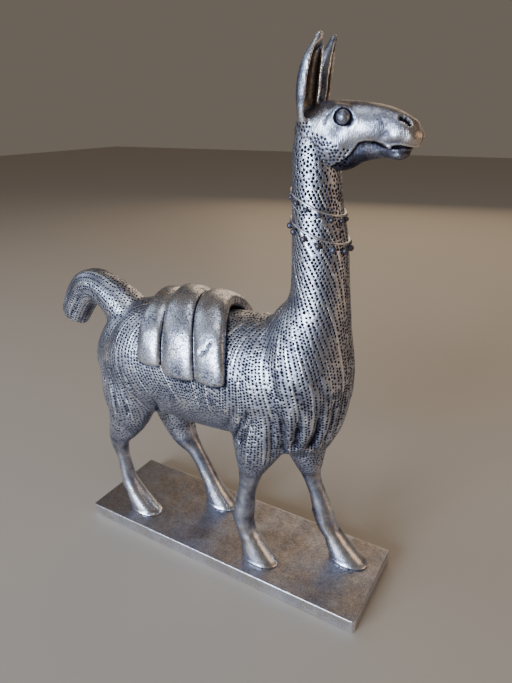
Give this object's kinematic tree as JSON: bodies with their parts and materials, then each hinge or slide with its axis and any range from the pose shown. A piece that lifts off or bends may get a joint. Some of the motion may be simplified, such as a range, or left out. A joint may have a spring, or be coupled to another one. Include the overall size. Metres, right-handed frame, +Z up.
{
  "type": "llama figurine",
  "caption": "Standing llama figurine in a walking pose with raised tail, upright ears, a padded pack on its back and beads round its neck, cast on a rectangular plinth.",
  "frame": {"origin": "middle of the plinth's underside", "axes": "+X forwards, where the llama faces; +Y to the llama's left; +Z up"},
  "size_m": [0.2827, 0.0772, 0.3613],
  "materials": {
    "plinth_finish": "antique silver and bronze patina over cast resin, mottled, bright worn edges",
    "figure_finish": "antique silver over cast resin, burnished ridges, dark patina in the hollows, warm bronze shading"
  },
  "bodies": {
    "root": {"plinth": "plinth_finish", "llama": "figure_finish"}
  },
  "joints": []
}
